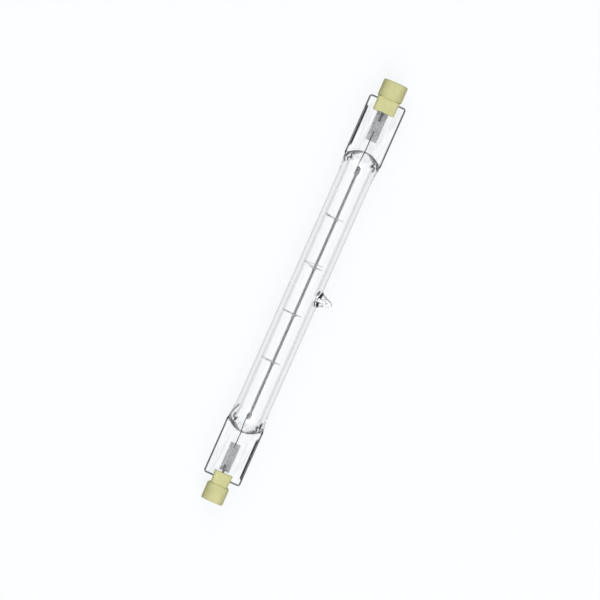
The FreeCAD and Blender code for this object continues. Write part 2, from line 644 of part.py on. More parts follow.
def metal_end(word, side):
    turn = Rotation(Vector(0, 0, 1), 0 if side > 0 else 180)

    foil = stock_body(word, "foil", turn)
    sheet_outline = new_sketch(foil, word + "_foil_outline", "XY_Plane")
    start = size[word + "_foil_start"]
    end = size[word + "_foil_end"]
    half = size[word + "_foil_width"] / 2
    aside = size[word + "_foil_aside"]
    low_words = "Sizes.%s_foil_aside - Sizes.%s_foil_width / 2" % (word, word)
    high_words = "Sizes.%s_foil_aside + Sizes.%s_foil_width / 2" % (word, word)
    start_words = "Places.%s_foil_start" % word
    end_words = "Places.%s_foil_end" % word
    closed_outline(sheet_outline, [
        (start, aside - half, start_words, low_words),
        (end, aside - half, end_words, low_words),
        (end, aside + half, end_words, high_words),
        (start, aside + half, start_words, high_words),
    ])
    pad(foil, word + "_foil_sheet", sheet_outline, "Sizes.foil_thickness", both_ways=True)

    # The outer lead lies on the foil and runs out to the stem of the contact button
    radius = size["outer_lead_diameter"] / 2
    height = size["foil_thickness"] / 2 + radius - size["weld_bite"]
    first = Vector(size[word + "_outer_lead_start"], size[word + "_outer_aside"], height)
    last = Vector(size[word + "_stem_end"], 0, height)
    outer = doc.addObject("Part::Cylinder", word + "_outer_lead_stock")
    outer.setExpression("Radius", "Sizes.outer_lead_diameter / 2")
    outer.Height = (last - first).Length
    outer.Placement = Placement(Vector(), turn).multiply(
        Placement(first, Rotation(Vector(0, 0, 1), last - first)))

    # The inner lead lies on the foil, leaves the seal and meets the side of the sleeve
    thin = size["inner_lead_diameter"] / 2
    low = size["foil_thickness"] / 2 + thin - size["weld_bite"]
    inner_aside = size[word + "_inner_aside"]
    bent_aside = size[word + "_inner_bent_aside"]
    off_axis = size["sleeve_diameter"] / 2 + thin
    bent_height = math.sqrt(off_axis ** 2 - bent_aside ** 2)
    sleeve_out = size[word + "_coil_end"]
    path = [
        Vector(size[word + "_inner_lead_end"], inner_aside, low),
        Vector(size["bore_end_half_length"] - size["inner_lead_exit"], inner_aside, low),
        Vector(sleeve_out + size["inner_lead_rise"], bent_aside, bent_height),
        Vector(sleeve_out - size["inner_lead_hold"], bent_aside, bent_height),
    ]
    inner = bent_wire(word + "_inner_lead_stock", path, "Sizes.inner_lead_diameter / 2", turn)
    return foil, outer, inner


outside = [tube, tip]
inside = [bore_stock, tip_hole]
seal_blocks = {}
metal = {}
for word, side in (("left", -1), ("right", 1)):
    out_pieces, block = glass_end(word, side)
    outside.extend(out_pieces)
    seal_blocks[word] = block
    metal[word] = metal_end(word, side)

glass_outside = fuse("glass_outside", outside)
glass_inside = fuse("glass_inside", inside)
metal_in_glass = fuse("metal_in_glass", [one for pieces in metal.values() for one in pieces])
blank = cut("glass_blank", glass_outside, glass_inside)
quartz = cut("quartz_envelope", blank, metal_in_glass)

nodes = {"quartz_envelope": quartz}
for word in ("left", "right"):
    foil, outer, inner = metal[word]
    nodes["foil_" + word] = same_again("foil_" + word, foil)
    nodes["inner_lead_" + word] = cut("inner_lead_" + word, inner, foil)


def ring_body(name, outer_words, inner_words, outer_value, inner_value, start, length):
    body = new_body(name)
    sketch = new_sketch(body, name + "_ring", "YZ_Plane", start)
    circle_on(sketch, "outside", outer_value / 2, outer_words)
    circle_on(sketch, "inside", inner_value / 2, inner_words)
    pad(body, name + "_pad", sketch, length)
    return body


# The filament coil, with its winding drawn as a plain tube, and its overwound ends
nodes["filament_coil"] = ring_body(
    "filament_coil", "Sizes.coil_diameter", "Sizes.coil_bore",
    size["coil_diameter"], size["coil_bore"],
    "-Places.left_coil_end", "Places.left_coil_end + Places.right_coil_end")
nodes["end_sleeve_left"] = ring_body(
    "end_sleeve_left", "Sizes.sleeve_diameter", "Sizes.coil_diameter",
    size["sleeve_diameter"], size["coil_diameter"],
    "-Places.left_coil_end", "Sizes.left_sleeve_length")
nodes["end_sleeve_right"] = ring_body(
    "end_sleeve_right", "Sizes.sleeve_diameter", "Sizes.coil_diameter",
    size["sleeve_diameter"], size["coil_diameter"],
    "Places.right_sleeve_start", "Sizes.right_sleeve_length")

# Filament supports: tight turns around the coil, a widening turn, then one large loop
# that leans on the wall of the bore
STEPS_PER_TURN = 10


def support_path(place, start_angle, lead):
    """Points along the wire's middle, each with the direction away from the coil there."""
    wire = size["support_wire_diameter"]
    tight = (size["coil_diameter"] / 2 + wire / 2 + size["support_gap"])
    tight /= math.cos(math.pi / STEPS_PER_TURN)
    wide = size["support_loop_diameter"] / 2 - wire / 2
    shift = bore_r - size["support_gap"] - size["support_loop_diameter"] / 2
    tight_turns = size["support_tight_turns"]
    widening_turns = size["support_widening_turns"]
    loop_turns = size["support_loop_turns"]
    turns = tight_turns + widening_turns + loop_turns
    count = int(round(turns * STEPS_PER_TURN))
    points = []
    for step in range(count + 1):
        turn = turns * step / count
        grown = min(max((turn - tight_turns) / widening_turns, 0.0), 1.0)
        grown = grown * grown * (3 - 2 * grown)
        looped = max(turn - tight_turns - widening_turns, 0.0) / loop_turns
        radius = tight + (wide - tight) * grown
        angle = math.radians(start_angle) + 2 * math.pi * turn
        away = Vector(0, math.cos(angle), math.sin(angle))
        along = place + size["support_tight_pitch"] * min(turn, tight_turns)
        along += size["support_spread"] * grown + lead * looped
        points.append((Vector(along, shift * grown, 0) + away * radius, away))
    return points


def wire_ring(points, here, radius):
    """The six corners of the wire's section at one point of its path."""
    middle, away = points[here]
    before = points[max(here - 1, 0)][0]
    after = points[min(here + 1, len(points) - 1)][0]
    forward = (after - before).normalize()
    side = forward.cross(away).normalize()
    up = side.cross(forward).normalize()
    return [middle + up * (radius * math.cos(math.pi * corner / 3))
            + side * (radius * math.sin(math.pi * corner / 3)) for corner in range(6)]


def flat_face(*corners):
    return Part.Face(Part.makePolygon(list(corners) + [corners[0]]))


def faceted_wire(name, points, radius):
    rings = [wire_ring(points, here, radius) for here in range(len(points))]
    faces = [flat_face(*rings[0]), flat_face(*rings[-1])]
    for ring, following in zip(rings, rings[1:]):
        for corner in range(6):
            beside = (corner + 1) % 6
            faces.append(flat_face(ring[corner], ring[beside], following[beside]))
            faces.append(flat_face(ring[corner], following[beside], following[corner]))
    shell = Part.makeShell(faces)
    shell.sewShape()
    solid = Part.makeSolid(shell)
    if solid.Volume < 0:
        solid.reverse()
    piece = doc.addObject("Part::Feature", name)
    piece.Shape = solid
    return piece


for name in ("support_1", "support_2", "support_3", "support_4"):
    path = support_path(size[name + "_place"], size[name + "_angle"], size[name + "_lead"])
    nodes[name] = faceted_wire(name, path, size["support_wire_diameter"] / 2)


# Ceramic caps, contact buttons and the cement between cap and seal.
# A cap's rim is rounded in two bevels, which meet at this share of the rounding.
BEVEL_SHARE = 0.29


def cap_end(word, side):
    turn = Rotation(Vector(0, 0, 1), 0 if side > 0 else 180)
    cap = new_body("ceramic_cap_" + word)
    cap.Placement = Placement(Vector(), turn)
    end = size[word + "_cap_end"]
    body_start = size[word + "_body_start"]
    neck = size[word + "_neck"]
    face = size[word + "_contact_face"]
    floor = size[word + "_seat_floor"]
    outer_r = size[word + "_cap_diameter"] / 2
    hole_r = size["lead_hole_diameter"] / 2
    recess_r = size["recess_diameter"] / 2
    seat_r = size["contact_diameter"] / 2 + size["contact_play"]
    neck_r = outer_r - size["cap_taper_length"]
    rim = size["cap_rim_rounding"]
    end_words = "Places.%s_cap_end" % word
    body_words = "Places.%s_body_start" % word
    neck_words = "Places.%s_neck" % word
    face_words = "Places.%s_contact_face" % word
    floor_words = "Places.%s_seat_floor" % word
    outer_words = "Sizes.%s_cap_diameter / 2" % word
    hole_words = "Sizes.lead_hole_diameter / 2"
    recess_words = "Sizes.recess_diameter / 2"
    seat_words = "Sizes.contact_diameter / 2 + Sizes.contact_play"
    neck_r_words = outer_words + " - Sizes.cap_taper_length"
    rim_words = " - Sizes.cap_rim_rounding"
    half_rim_words = " - Sizes.cap_rim_rounding * %s" % BEVEL_SHARE
    turned = new_sketch(cap, word + "_cap_profile", "XY_Plane")
    closed_outline(turned, [
        (neck, hole_r, neck_words, hole_words),
        (floor, hole_r, floor_words, hole_words),
        (floor, seat_r, floor_words, seat_words),
        (face, seat_r, face_words, seat_words),
        (face, recess_r, face_words, recess_words),
        (end, recess_r, end_words, recess_words),
        (end, outer_r - rim, end_words, outer_words + rim_words),
        (end - rim * BEVEL_SHARE, outer_r - rim * BEVEL_SHARE, end_words + half_rim_words,
         outer_words + half_rim_words),
        (end - rim, outer_r, end_words + rim_words, outer_words),
        (body_start, outer_r, body_words, outer_words),
        (neck, neck_r, neck_words, neck_r_words),
    ])
    revolve(cap, word + "_cap_turned", turned, "H_Axis")

    # The fork, rounded on its long edges, with a slot for the seal and a hole for the lead
    half_w = size[word + "_fork_width"] / 2
    half_neck = size[word + "_neck_width"] / 2
    half_h = size["cap_fork_height"] / 2
    fork_end = size[word + "_fork_end"]
    w_words = "Sizes.%s_fork_width / 2" % word
    neck_w_words = "Sizes.%s_neck_width / 2" % word
    fork_words = "Places.%s_fork_end" % word
    root = neck + size["fork_root"]
    root_words = neck_words + " + Sizes.fork_root"
    fork = new_sketch(cap, word + "_fork_outline", "XY_Plane")
    closed_outline(fork, [
        (fork_end, -half_w, fork_words, "-" + w_words),
        (root, -half_neck, root_words, "-" + neck_w_words),
        (root, half_neck, root_words, neck_w_words),
        (fork_end, half_w, fork_words, w_words),
    ])
    fork_pad = pad(cap, word + "_fork_pad", fork, "Sizes.cap_fork_height", both_ways=True)
    round_edges(
        cap, word + "_fork_edges", fork_pad,
        lambda edge: (edge.BoundBox.XMin < fork_end + 0.01 and edge.BoundBox.XLength > 1.0
                      and abs(abs(edge.BoundBox.Center.z) - half_h) < 0.01),
        "Sizes.cap_fork_rounding")
    slot_half = size["pinch_thickness"] / 2 + size["cement_gap"]
    slot_words = "Sizes.pinch_thickness / 2 + Sizes.cement_gap"
    clear_w = half_w + OVERRUN
    clear_words = "%s + %s" % (w_words, OVERRUN)
    slot = new_sketch(cap, word + "_slot_outline", "YZ_Plane", "Places.%s_fork_end" % word)
    closed_outline(slot, [
        (-clear_w, -slot_half, "-(" + clear_words + ")", "-(" + slot_words + ")"),
        (clear_w, -slot_half, clear_words, "-(" + slot_words + ")"),
        (clear_w, slot_half, clear_words, slot_words),
        (-clear_w, slot_half, "-(" + clear_words + ")", slot_words),
    ])
    depth = "Places.%s_slot_end - Places.%s_fork_end" % (word, word)
    pocket(cap, word + "_slot", slot, depth, reverse=True)
    lead_hole = new_sketch(cap, word + "_lead_hole_circle", "YZ_Plane",
                           "Places.%s_fork_end" % word)
    circle_on(lead_hole, "hole", hole_r, "Sizes.lead_hole_diameter")
    pocket(cap, word + "_lead_hole", lead_hole,
           "%s + Sizes.fork_root * 1.5 - Places.%s_fork_end" % (neck_words, word), reverse=True)

    button = stock_body(word, "button", turn)
    bevel = size["contact_rounding"]
    head_r = size["contact_diameter"] / 2
    stem_r = size["contact_stem_diameter"] / 2
    stem = size[word + "_stem_end"]
    stem_words = "Places.%s_stem_end" % word
    head_words = "Sizes.contact_diameter / 2"
    outline = new_sketch(button, word + "_button_profile", "XY_Plane")
    closed_outline(outline, [
        (stem, 0, stem_words, None),
        (face, 0, face_words, None),
        (face, head_r - bevel, face_words, head_words + " - Sizes.contact_rounding"),
        (face - bevel, head_r, face_words + " - Sizes.contact_rounding", head_words),
        (floor, head_r, floor_words, head_words),
        (floor, stem_r, floor_words, "Sizes.contact_stem_diameter / 2"),
        (stem, stem_r, stem_words, "Sizes.contact_stem_diameter / 2"),
    ])
    revolve(button, word + "_button_turned", outline, "H_Axis")

    paste = stock_body(word, "cement", turn)
    inset = size["cement_setback"]
    paste_outline = new_sketch(paste, word + "_cement_outline", "YZ_Plane",
                               "Places.%s_fork_end + Sizes.cement_setback" % word)
    paste_w = half_w - inset
    paste_words = w_words + " - Sizes.cement_setback"
    closed_outline(paste_outline, [
        (-paste_w, -slot_half, "-(" + paste_words + ")", "-(" + slot_words + ")"),
        (paste_w, -slot_half, paste_words, "-(" + slot_words + ")"),
        (paste_w, slot_half, paste_words, slot_words),
        (-paste_w, slot_half, "-(" + paste_words + ")", slot_words),
    ])
    pad(paste, word + "_cement_pad", paste_outline, depth + " - Sizes.cement_setback")
    round_things = fuse(word + "_set_in_cement", [seal_blocks[word], metal[word][1]])
    cement = cut("cap_cement_" + word, paste, round_things)
    return cap, button, cement


for word, side in (("left", -1), ("right", 1)):
    cap, button, cement = cap_end(word, side)
    nodes["ceramic_cap_" + word] = cap
    nodes["contact_button_" + word] = same_again("contact_button_" + word, button)
    foil, outer, inner = metal[word]
    on_foil = cut(word + "_outer_lead_on_foil", outer, foil)
    nodes["outer_lead_" + word] = cut("outer_lead_" + word, on_foil, button)
    nodes["cap_cement_" + word] = cement

for name, node in nodes.items():
    node.Label = name
doc.recompute()

for thing in doc.Objects:
    if "Invalid" in thing.State or "Error" in thing.State:
        raise RuntimeError("%s is in state %s" % (thing.Name, thing.State))
for name, node in nodes.items():
    shape = node.Shape
    if shape.isNull() or not shape.isValid() or not shape.Solids:
        raise RuntimeError(name + " has no valid solid")
    shape.exportStep("parts/%s.step" % name)
    box = shape.BoundBox
    print("%-22s solids %d volume %9.3f faces %d  x %.2f..%.2f z %.2f..%.2f" % (
        name, len(shape.Solids), shape.Volume, len(shape.Faces),
        box.XMin, box.XMax, box.ZMin, box.ZMax))
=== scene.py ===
import math
import bpy
import numpy as np
from mathutils import Matrix, Vector


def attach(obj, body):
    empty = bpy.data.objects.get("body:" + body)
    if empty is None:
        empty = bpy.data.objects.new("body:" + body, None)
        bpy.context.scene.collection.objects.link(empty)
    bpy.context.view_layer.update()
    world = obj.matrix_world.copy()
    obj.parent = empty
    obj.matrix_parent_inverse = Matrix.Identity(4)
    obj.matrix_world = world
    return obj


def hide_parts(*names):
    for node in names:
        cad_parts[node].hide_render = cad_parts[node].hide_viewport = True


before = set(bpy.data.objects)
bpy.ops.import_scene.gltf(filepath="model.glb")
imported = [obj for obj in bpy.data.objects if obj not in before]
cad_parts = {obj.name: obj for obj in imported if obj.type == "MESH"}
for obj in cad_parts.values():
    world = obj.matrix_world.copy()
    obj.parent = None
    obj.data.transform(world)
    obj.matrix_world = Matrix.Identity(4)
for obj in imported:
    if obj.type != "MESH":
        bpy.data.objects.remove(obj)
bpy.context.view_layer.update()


# The quartz envelope: one clear tube of fused quartz, pressed flat at both ends while hot.
# The jaws leave a shoulder, a flat seal with rounded edges and a bead of glass along one edge.
# The exhaust tube in its middle was melted off, which leaves a hollow pointed tip.
MM = 0.001
TUBE_R = 4.55
STRAIGHT_END = 31.5
FLARE_R = 5.0
BORE_R = 3.3
ROUND_END = 33.0
FLARE_END = 37.0
FLAT_START = 37.8
LEFT_END = 52.5
RIGHT_END = 53.7

# The jaws: how far above the tube their fall starts, the arch of its toe, how steeply it
# ends, where the round shape gives way to the seal's, and the size of the seal they leave
JAW_LIFT = 0.3
ARCH_RISE = 1.5
ARCH_CURVE = 0.1
TOE_SOFTNESS = 0.12
SLOPE_PAST_TOE = 3.0
SHOULDER_BLEND = 0.3
SEAL_SHAPE_START = 36.5
SEAL_SHAPE_RUN = 1.0
SEAL_HALF_WIDTH = 5.1
SEAL_HALF_HEIGHT = 1.6
SEAL_EDGE_R = 0.6
SEAL_CORNER_R = 0.8

# The bead along one edge of each seal
BEAD_START = 39.0
BEAD_END = 50.8
BEAD_RUN_OUT = 0.8
BEAD_INSET = 0.25
BEAD_HALF_WIDTH = 0.5
BEAD_HEIGHT = 0.35

# The end of the bore, which flattens below the shoulder and closes in an arch
BORE_ARCH_START = 36.9
BORE_ARCH_END = 39.3
ROOF_WALL = 1.35
ROOF_BLEND = 0.5

# The exhaust tip: its flared foot, its neck and its rounded end, and the hole left in it
TIP_X = -0.33
TIP_REACH = 8.0
TIP_END_R = 0.65
TIP_FOOT = 4.4
TIP_NECK = 6.1
TIP_NECK_R = 1.27
TIP_TAPER = 0.43
TIP_FLARE = 0.07
TIP_FOOT_TO_RIGHT = 1.08
TIP_FOOT_TO_LEFT = 0.94
TIP_BLEND = 0.35
TIP_HOLE_END = 6.6
TIP_HOLE_END_R = 0.25
TIP_HOLE_TAPER = 0.19
TIP_HOLE_BLEND = 0.15


def in_metres(points):
    """The lamp's own millimetres to the frame's metres."""
    return np.asarray(points, float).reshape(-1, 3) * MM


def smooth_step(value):
    value = np.clip(value, 0.0, 1.0)
    return value * value * (3 - 2 * value)


def soft_max(a, b, width):
    """The larger of two heights, with the corner between them rounded over a width."""
    near = np.clip(0.5 + 0.5 * (a - b) / width, 0.0, 1.0)
    return b + (a - b) * near + width * near * (1 - near)


def soft_min(a, b, width):
    return -soft_max(-a, -b, width)


def tube_faces(rows, columns, first=0, inward=False):
    """Quads between rings of points, and a fan to a middle point at each end."""
    faces = []
    for row in range(rows - 1):
        for column in range(columns):
            beside = (column + 1) % columns
            a = first + row * columns + column
            b = first + row * columns + beside
            c = first + (row + 1) * columns + beside
            d = first + (row + 1) * columns + column
            faces.append((a, d, c, b) if inward else (a, b, c, d))
    low = first + rows * columns
    high = low + 1
    last = first + (rows - 1) * columns
    for column in range(columns):
        beside = (column + 1) % columns
        if inward:
            faces.append((low, first + column, first + beside))
            faces.append((high, last + beside, last + column))
        else:
            faces.append((low, first + beside, first + column))
            faces.append((high, last + column, last + beside))
    return faces


def new_piece(name, points, faces, material, nodes, slot, smooth=True, painted=None):
    """A finished mesh that takes the place of nodes of the frame."""
    mesh = bpy.data.meshes.new(name)
    mesh.from_pydata([tuple(one) for one in in_metres(points)], [], faces)
    mesh.update()
    mesh.polygons.foreach_set("use_smooth", [smooth] * len(mesh.polygons))
    for word, values in (painted or {}).items():
        mesh.attributes.new(word, "FLOAT", "POINT").data.foreach_set("value", values)
    piece = bpy.data.objects.new(name, mesh)
    bpy.context.scene.collection.objects.link(piece)
    mesh.materials.append(material)
    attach(piece, "root")
    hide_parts(*nodes)
    return piece


def reach_to_box(cosine, sine, half_wide, half_high, corner):
    """Distance from the axis to a rounded rectangle, along each direction."""
    cosine = np.maximum(np.abs(cosine), 1e-9)
    sine = np.maximum(np.abs(sine), 1e-9)
    centre_y = half_wide - corner
    centre_z = half_high - corner
    side = half_wide / cosine
    top = half_high / sine
    along = cosine * centre_y + sine * centre_z
    inside = along ** 2 - centre_y ** 2 - centre_z ** 2 + corner ** 2
    arc = along + np.sqrt(np.maximum(inside, 0.0))
    reach = np.where(side * sine <= centre_z, side, arc)
    return np.where(top * cosine <= centre_y, top, reach)


def reach_to_tip(off_x, towards, across, radius_at, floor_reach, end_reach):
    """Distance from the axis to a turned stub that points along -Y, by halving."""
    low = np.full(np.broadcast(off_x, towards).shape, floor_reach)
    high = np.full(low.shape, end_reach * 1.4)
    ahead = towards > 0.2
    for _ in range(30):
        middle = (low + high) / 2
        radius = radius_at(middle * towards)
        inside = off_x ** 2 + (middle * across) ** 2 < radius ** 2
        low = np.where(inside & ahead, middle, low)
        high = np.where(inside & ahead, high, middle)
    return low


def tip_radius(reach):
    """Radius of the exhaust tip: a flared foot, a cone and a rounded end."""
    centre = TIP_REACH - TIP_END_R
    cone_end = centre + 0.22
    ball = np.sqrt(np.maximum(TIP_END_R ** 2 - (reach - centre) ** 2, 0.0))
    above_foot = np.maximum(reach, TIP_FOOT)
    below_neck = np.maximum(TIP_NECK - above_foot, 0.0)
    cone = TIP_NECK_R - TIP_TAPER * (above_foot - TIP_NECK) + TIP_FLARE * below_neck ** 2
    cone = np.where(reach < cone_end, cone, 0.0)
    return np.where(reach < TIP_REACH, np.maximum(ball, cone), 0.0)


def tip_hollow_radius(reach):
    """Radius of the hole left in the tip, closed by a rounded end."""
    centre = TIP_HOLE_END - TIP_HOLE_END_R
    ball = np.sqrt(np.maximum(TIP_HOLE_END_R ** 2 - (reach - centre) ** 2, 0.0))
    cone = TIP_HOLE_END_R + (centre - reach) * TIP_HOLE_TAPER
    return np.where(reach < centre, cone, ball)


def toe_of_jaws(y):
    """How far out the fall of the jaws ends, which makes an arch across the seal."""
    return FLAT_START + ARCH_RISE - ARCH_CURVE * y ** 2


def jaw_height(reach, y, seal_half):
    """Half the height that the jaws leave: a rounded fall whose toe follows an arch."""
    toe = toe_of_jaws(y)
    run = toe - ROUND_END
    top = TUBE_R + JAW_LIFT
    drop = top - SEAL_HALF_HEIGHT
    fall = (run * run + drop * drop) / (2 * drop)
    along = np.clip(reach - ROUND_END, 0, run)
    falling = top - fall + np.sqrt(np.maximum(fall ** 2 - along ** 2, 0.0))
    falling = falling - SLOPE_PAST_TOE * np.maximum(reach - toe, 0.0)
    return soft_max(falling, seal_half + 0 * falling, TOE_SOFTNESS)


# Painted dark strokes of shade at the corners of the shoulders: for each, the place along the
# tube and across it where it starts, the same where it ends, and its width
SHADE_STROKES = [
    (36.8, 5.1, 35.2, 4.1, 0.32), (36.3, 4.4, 37.8, 3.7, 0.28), (37.4, -3.8, 36.0, -4.7, 0.32),
    (37.5, -4.9, 35.8, -4.8, 0.34), (-35.6, 4.6, -33.0, 3.6, 0.2), (-37.3, 4.8, -35.8, 4.7, 0.4),
    (-37.0, 4.0, -38.1, 3.0, 0.26), (-37.2, -3.8, -35.2, -3.9, 0.26),
    (-37.5, -4.9, -36.0, -5.0, 0.34),
]
SHADE_BLUR = 0.16
SHARE_ON_UNDERSIDE = 0.25

# From where the glass counts as pressed, from where every rounded edge of the seal is painted
# dark with shade, and from where those along its two long sides already are
PRESSED_START = 36.4
PRESSED_RUN = 0.8
DARK_EDGES_START = 39.5
DARK_SIDES_START = 37.0
DARK_SIDES_Y = 4.5

# The painted dark arch of shade along the toe: its thickness, which swells on both sides of
# the middle, how softly it fades inwards, and the faint painted dark line that runs ahead of it
ARCH_THICKNESS = 0.3
ARCH_SWELL = 0.75
ARCH_SWELL_Y = 2.4
ARCH_SWELL_HALF = 1.9
ARCH_FADE = 0.25
ARCH_HALF_WIDTH = 4.7
FAINT_LINE_AHEAD = 0.55
FAINT_LINE_DARKNESS = 0.2


def painted_strokes_and_arch(x, y):
    """How dark each point is painted in the shade strokes and in the painted arch of the
    shoulders.
    """
    reach = np.abs(x)
    stroke_shade = np.zeros(y.shape)
    for start_x, start_y, end_x, end_y, width in SHADE_STROKES:
        run = np.array((end_x - start_x, end_y - start_y))
        share = ((x - start_x) * run[0] + (y - start_y) * run[1]) / (run @ run)
        share = np.clip(share, 0, 1)
        off = np.hypot(x - start_x - share * run[0], y - start_y - share * run[1])
        stroke_shade = np.maximum(stroke_shade, 1 - smooth_step((off - width / 2) / SHADE_BLUR))
    toe = toe_of_jaws(y)
    swell = 1 - smooth_step(np.abs(np.abs(y) - ARCH_SWELL_Y) / ARCH_SWELL_HALF)
    thick = ARCH_THICKNESS + ARCH_SWELL * swell
    below = toe + 0.05 - reach
    arch = smooth_step(below / SHADE_BLUR) * (1 - smooth_step((below - thick) / ARCH_FADE))
    inner = 1 - 0.3 * smooth_step(below / thick)
    faint_line = FAINT_LINE_DARKNESS * (1 - smooth_step(np.abs(reach - toe - FAINT_LINE_AHEAD) / SHADE_BLUR))
    across = 1 - smooth_step((np.abs(y) - ARCH_HALF_WIDTH) / 0.2)
    return np.maximum(stroke_shade, np.maximum(arch * inner, faint_line) * across)


def painted_edge_shade(points, reach):
    """How much painted shade each point gets on a rounded edge of the seal, where the glass looks
    dark.
    """
    along = np.gradient(points, axis=0)
    round_it = np.roll(points, -1, axis=1) - np.roll(points, 1, axis=1)
    normal = np.cross(along, round_it)
    slope = 1 - np.abs(normal[:, :, 2]) / np.maximum(np.linalg.norm(normal, axis=2), 1e-9)
    rounded = smooth_step((slope - 0.001) / 0.03) * (1 - smooth_step((slope - 0.75) / 0.2))
    at_side = smooth_step((np.abs(points[:, :, 1]) - DARK_SIDES_Y) / 0.2)
    sides = at_side * smooth_step((reach - DARK_SIDES_START) / 0.5)
    return rounded * np.maximum(smooth_step((reach - DARK_EDGES_START) / 0.3), sides)


def outside_places():
    """Where the outside has its rings, closest where its shape changes most."""
    ends = []
    for end in (LEFT_END, RIGHT_END):
        corner = end - SEAL_CORNER_R + SEAL_CORNER_R * np.sin(np.linspace(0, math.pi / 2, 12))
        ends.append(np.concatenate((
            np.linspace(STRAIGHT_END, 39.5, 62),
            np.linspace(39.5, end - SEAL_CORNER_R - 0.05, 26),
            corner)))
    tip = np.linspace(TIP_X - 2.7, TIP_X + 2.9, 66)
    x = np.concatenate((-ends[0], np.linspace(-31, 31, 36), tip, ends[1]))
    return np.unique(np.round(x, 4))[:, None]


def outside_rings(columns):
    """Rings of points on the outside, with the pressed share and the painted dark lines of shade
    of each.
    """
    x = outside_places()
    reach = np.abs(x)
    end = np.where(x > 0, RIGHT_END, LEFT_END)
    widened = np.clip((reach - ROUND_END) / (FLARE_END - ROUND_END), 0, 1)
    flare = TUBE_R + (FLARE_R - TUBE_R) * widened
    into = np.clip(reach - (end - SEAL_CORNER_R), 0, SEAL_CORNER_R)
    cut = SEAL_CORNER_R - np.sqrt(np.maximum(SEAL_CORNER_R ** 2 - into ** 2, 0.0))
    half_wide = SEAL_HALF_WIDTH - cut
    shallow = np.clip(reach - (end - SEAL_EDGE_R), 0, SEAL_EDGE_R)
    sunk = SEAL_EDGE_R - np.sqrt(np.maximum(SEAL_EDGE_R ** 2 - shallow ** 2, 0.0))
    half_high = SEAL_HALF_HEIGHT - sunk
    corner = np.maximum(SEAL_EDGE_R - sunk, 0.05) + 0 * reach
    turn = np.linspace(0, 2 * math.pi, columns, endpoint=False)[None, :]
    flatness = np.minimum(jaw_height(reach, 0.0, half_high), TUBE_R) / TUBE_R
    angle = np.arctan2(flatness * np.sin(turn), np.cos(turn))
    cosine = np.cos(angle)
    sine = np.sin(angle)
    seal_share = smooth_step((reach - SEAL_SHAPE_START) / SEAL_SHAPE_RUN)

    # The height under the jaws depends on the place across, and that on the height
    y = TUBE_R * cosine
    for _ in range(12):
        jaw = jaw_height(reach, y, half_high)
        under_jaw = jaw / np.maximum(np.abs(sine), 1e-9)
        squeezed = soft_min(flare + 0 * y, under_jaw, SHOULDER_BLEND)
        squeezed = np.where(reach < ROUND_END + 0.01, TUBE_R, squeezed)
        seal = reach_to_box(cosine, sine, half_wide, jaw, corner)
        distance = squeezed * (1 - seal_share) + seal * seal_share
        y = (y + distance * cosine) / 2

    # The tip's foot reaches a little further to the right than to the left
    off_x = x - TIP_X
    off_x = np.where(off_x > 0, off_x / TIP_FOOT_TO_RIGHT, off_x / TIP_FOOT_TO_LEFT)
    stub = reach_to_tip(off_x, -cosine, sine, tip_radius, TUBE_R - 1.2, TIP_REACH)
    near_tip = np.abs(x - TIP_X) < 3.0
    distance = np.where(near_tip, soft_max(distance, stub, TIP_BLEND), distance)
    y = distance * cosine
    z = distance * sine

    bead_y = np.sign(x) * (SEAL_HALF_WIDTH - BEAD_INSET)
    starting = smooth_step((reach - BEAD_START) / BEAD_RUN_OUT)
    ending = smooth_step((BEAD_END - reach) / BEAD_RUN_OUT)
    across = 1 - smooth_step(np.abs(y - bead_y) / BEAD_HALF_WIDTH)
    bead = BEAD_HEIGHT * starting * ending * across
    z = z + np.sign(sine) * bead * np.clip(np.abs(z), 0, 1)

    points = np.stack((np.broadcast_to(x, y.shape), y, z), axis=2)
    pressed = smooth_step((reach - PRESSED_START) / PRESSED_RUN) + 0 * y
    # Painted shade: strokes and arch, weaker on the underside, and dark rounded edges.
    painted_strokes = painted_strokes_and_arch(x, y) * np.where(z > 0, 1.0, SHARE_ON_UNDERSIDE)
    return points, pressed, np.maximum(painted_edge_shade(points, reach), painted_strokes)


def inside_rings(columns):
    """Rings of points on the wall of the bore."""
    arch_length = BORE_ARCH_END - BORE_ARCH_START
    closing = BORE_ARCH_START + (arch_length - 0.004) * np.sin(np.linspace(0, math.pi / 2, 30))
    end = np.concatenate((np.linspace(STRAIGHT_END, BORE_ARCH_START, 44), closing))
    tip = np.linspace(TIP_X - 1.0, TIP_X + 1.0, 44)
    x = np.concatenate((-end, np.linspace(-31, 31, 30), tip, end))
    x = np.unique(np.round(x, 4))[:, None]
    reach = np.abs(x)
    arch_r = (BORE_R ** 2 + arch_length ** 2) / (2 * arch_length)
    span = np.sqrt(np.maximum(arch_r ** 2 - (reach - BORE_ARCH_END + arch_r) ** 2, 1e-8))
    half_wide = np.where(reach > BORE_ARCH_START, np.minimum(span, BORE_R), BORE_R)
    roof = jaw_height(reach, 0.0, SEAL_HALF_HEIGHT) - ROOF_WALL
    half_high = soft_min(BORE_R + 0 * reach, roof, ROOF_BLEND)
    half_high = np.where(reach < ROUND_END, BORE_R, half_high)
    turn = np.linspace(0, 2 * math.pi, columns, endpoint=False)[None, :]
    y = half_wide * np.cos(turn)
    z = half_high * np.sin(turn)
    distance = np.hypot(y, z)
    cosine = y / np.maximum(distance, 1e-9)
    sine = z / np.maximum(distance, 1e-9)
    hole = reach_to_tip(
        x - TIP_X, -cosine, sine, tip_hollow_radius, BORE_R - 1.2, TIP_HOLE_END)
    near_tip = np.abs(x - TIP_X) < 1.2
    distance = np.where(near_tip, soft_max(distance, hole, TIP_HOLE_BLEND), distance)
    return np.stack((
        np.broadcast_to(x, y.shape), distance * cosine, distance * sine), axis=2)


def new_material(name):
    material = bpy.data.materials.new(name)
    material.use_nodes = True
    tree = material.node_tree
    return material, tree, tree.nodes["Principled BSDF"]


